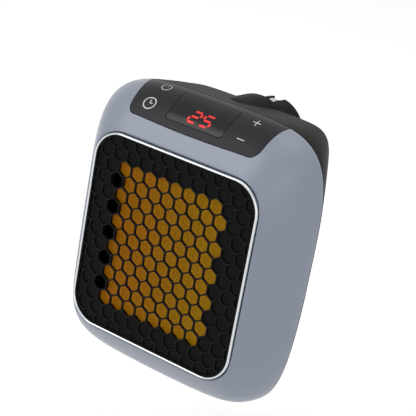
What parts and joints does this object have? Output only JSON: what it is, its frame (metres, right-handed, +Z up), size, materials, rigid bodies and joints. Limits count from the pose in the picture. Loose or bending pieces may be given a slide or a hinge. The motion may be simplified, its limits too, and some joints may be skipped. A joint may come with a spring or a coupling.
{
  "type": "plug-in fan heater",
  "caption": "Compact fan heater that plugs straight into a wall socket, with a honeycomb outlet grille, touch keys, a red display and a turning plug.",
  "frame": {"origin": "centre of the plug's flat face, where it meets the wall socket", "axes": "+Y into the wall along the plug's axis and pins, +Z up, +X to the right as seen from the room"},
  "size_m": [0.131, 0.1006, 0.1427],
  "materials": {
    "shell_grey": "satin silver-grey lacquer",
    "panel_black": "satin dark grey",
    "smoked_window": "glossy smoked",
    "bright_trim": "polished",
    "grille_black": "fine matt",
    "cover_black": "fine matt",
    "frame_brown": "matt heatproof moulding",
    "bar_metal": "gold-coated tube",
    "fin_gold": "gold-coated folded sheet",
    "board_green": "solder mask",
    "display_red": "satin",
    "steel": "bright plated",
    "fan_black": "satin moulding",
    "motor_zinc": "zinc-plated can",
    "washer_grey": "matt fibre",
    "part_white": "matt",
    "part_blue": "satin",
    "part_yellow": "satin"
  },
  "bodies": {
    "plug": {"plug_body": "cover_black", "plug_pin_left": "steel", "plug_pin_right": "steel", "earth_contact_top": "steel", "earth_contact_bottom": "steel"},
    "housing": {"ambient_sensor": "part_yellow", "board_screw_left": "steel", "board_screw_right": "steel", "capacitor": "part_yellow", "control_board": "board_green", "control_panel": "panel_black", "cover_screw_left_bottom": "steel", "cover_screw_left_top": "steel", "cover_screw_right_bottom": "steel", "cover_screw_right_top": "steel", "deck_screw_left_bottom": "steel", "deck_screw_left_top": "steel", "deck_screw_right_bottom": "steel", "deck_screw_right_top": "steel", "display_lens": "smoked_window", "display_module": "display_red", "element_frame": "frame_brown", "fan_duct": "fan_black", "fin_bank_1": "fin_gold", "fin_bank_2": "fin_gold", "fin_bank_3": "fin_gold", "fin_bank_4": "fin_gold", "friction_washer": "washer_grey", "front_shell": "shell_grey", "grille": "grille_black", "heating_bar_1": "bar_metal", "heating_bar_2": "bar_metal", "heating_bar_3": "bar_metal", "main_board": "board_green", "motor_body": "motor_zinc", "motor_bracket": "fan_black", "panel_screw_left": "steel", "panel_screw_right": "steel", "rear_cover": "cover_black", "relay": "part_blue", "retaining_ring": "steel", "thermal_cutout": "fan_black", "thermal_fuse": "motor_zinc", "touch_spring_minus": "steel", "touch_spring_plus": "steel", "touch_spring_power": "steel", "touch_spring_timer": "steel", "transformer": "part_white", "trim_ring": "bright_trim"},
    "fan": {"fan_impeller": "fan_black", "motor_shaft": "steel"}
  },
  "joints": [
    {"name": "plug_swivel", "type": "hinge", "parent": "plug", "child": "housing", "pos_m": [0, 0, 0], "axis": [0, 1, 0], "range_deg": [-90, 90]},
    {"name": "fan_spin", "type": "hinge", "parent": "housing", "child": "fan", "pos_m": [0, -0.0535, -0.0513], "axis": [0, 1, 0], "continuous": true}
  ]
}
